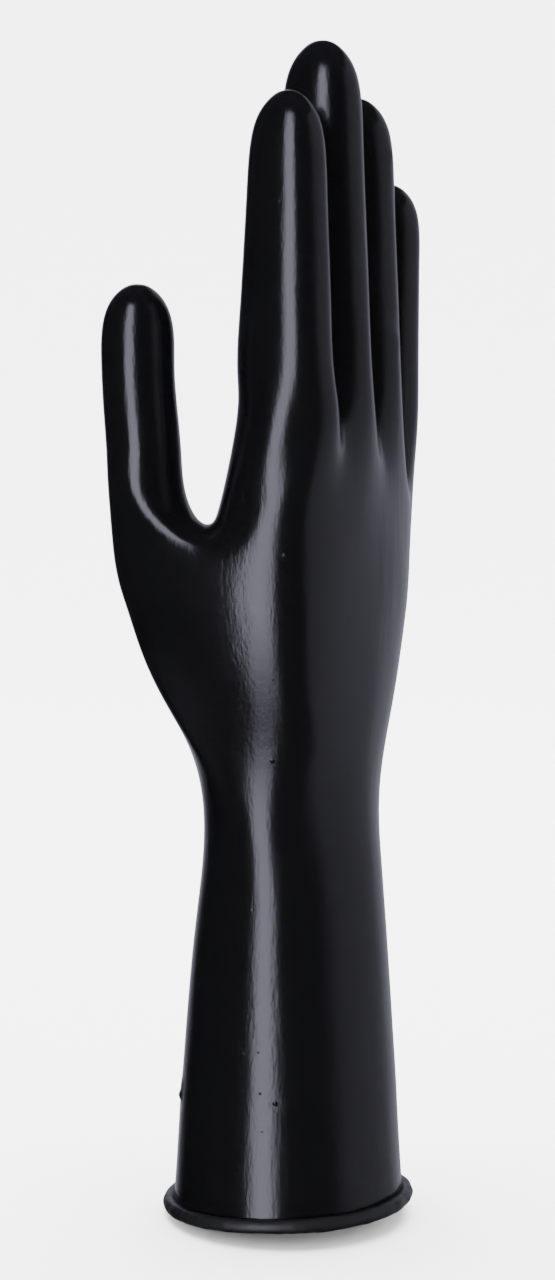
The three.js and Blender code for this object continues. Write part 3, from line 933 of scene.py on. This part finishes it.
# %% Soft boxes
# Columns: first side, last side, distance, lowest, highest, radiance, and fades at the
# first side, last side, foot and head. Sides are in degrees from the back of the hand,
# and below zero on the thumb's side.
SOFT_BOXES = {
    "strip": (-105, -73, 1.0, -1.35, 1.35, 5.6, 0.24, 0.24, 0.42, 0.12),
    "side": (-27, 66, 1.2, -0.9, 1.4, 0.44, 0.38, 0.001, 0.05, 0.05),
    "edge": (66, 117, 1.2, -0.9, 1.4, 0.62, 0.001, 0.001, 0.05, 0.05),
    "rim": (117, 165, 1.2, -0.9, 1.4, 1.0, 0.001, 0.999, 0.05, 0.05),
    "low": (-195, -115, 1.2, -1.8, -0.3, 0.22, 0.4, 0.4, 0.05, 0.7),
}


def soft_box(name, first_side, last_side, distance, low, high, *glow):
    """A sheet at an even distance. Its points go two by two, foot and head, so half the
    number of a point gives its U and whether that number is odd gives its V."""
    made = sweep(name, first_side, last_side, [(distance, low), (distance, high)],
                 glow_material(name + "_glow", *glow))
    corner = np.empty(len(made.data.loops), int)
    made.data.loops.foreach_get("vertex_index", corner)
    uv = np.stack([corner // 2 / (SWEEP_STEPS - 1), corner % 2], 1)
    made.data.uv_layers.new(name="UVMap").data.foreach_set("uv", uv.ravel())
    made.visible_camera = False
    made.visible_diffuse = False
    made.visible_shadow = False


for name, row in SOFT_BOXES.items():
    soft_box(name, *row)
print("soft boxes:", ", ".join(SOFT_BOXES))

# %% The lamp above
LAMP_PLACE = Vector((0.35, 0.2, 2.0))
LAMP_AIM = Vector((0.25, 0.15, 0))
LAMP_WIDTH = 2.4
LAMP_RADIANCE = 17.0
lamp = bpy.data.lights.new("above", "AREA")
lamp.shape = "SQUARE"
lamp.size = LAMP_WIDTH
lamp.energy = LAMP_RADIANCE * np.pi * LAMP_WIDTH ** 2
above = bpy.data.objects.new("above", lamp)
above.location = LAMP_PLACE
above.rotation_euler = (LAMP_AIM - LAMP_PLACE).to_track_quat("-Z", "Y").to_euler()
above.visible_camera = False
above.visible_glossy = False
bpy.context.scene.collection.objects.link(above)
print("lamp above:", round(lamp.energy), "watts")

# %% The room's own light
ROOM_COLOUR = (0.015, 0.015, 0.016, 1)
world = bpy.data.worlds.new("room")
world.use_nodes = True
world.node_tree.nodes["Background"].inputs["Color"].default_value = ROOM_COLOUR
bpy.context.scene.world = world
print("room colour:", ROOM_COLOUR[:3])

# %% [markdown]
# ## Camera
#
# The photo is taken from the thumb's side and a little above. The camera could be moved
# by hand until it looks right. Here it is placed by an angle round the glove, a pitch
# and a distance, because these three were fitted to the photo's outline.

# %% The photo's viewpoint
CAMERA_SIDE = -63.0        # degrees round from -Y, towards -X
CAMERA_PITCH = 5.8
CAMERA_DISTANCE = 0.65
CAMERA_TARGET = Vector((-0.00127, 0.00249, 0.150))
CAMERA_LENS = 71.3
SENSOR_WIDTH = 36


def direction(side, pitch):
    """Unit vector: sine of the side and minus its cosine, both times the cosine of the
    pitch, and then the sine of the pitch."""
    a, e = np.radians(side), np.radians(pitch)
    return Vector((np.sin(a) * np.cos(e), -np.cos(a) * np.cos(e), np.sin(e)))


camera_data = bpy.data.cameras.new("camera")
camera_data.sensor_fit = "AUTO"
camera_data.sensor_width = SENSOR_WIDTH
camera_data.lens = CAMERA_LENS
camera = bpy.data.objects.new("camera", camera_data)
back_way = direction(CAMERA_SIDE, CAMERA_PITCH)
camera.location = CAMERA_TARGET + back_way * CAMERA_DISTANCE
camera.rotation_euler = back_way.to_track_quat("Z", "Y").to_euler()
bpy.context.scene.collection.objects.link(camera)
bpy.context.scene.camera = camera
print("camera at", [round(v, 3) for v in camera.location])
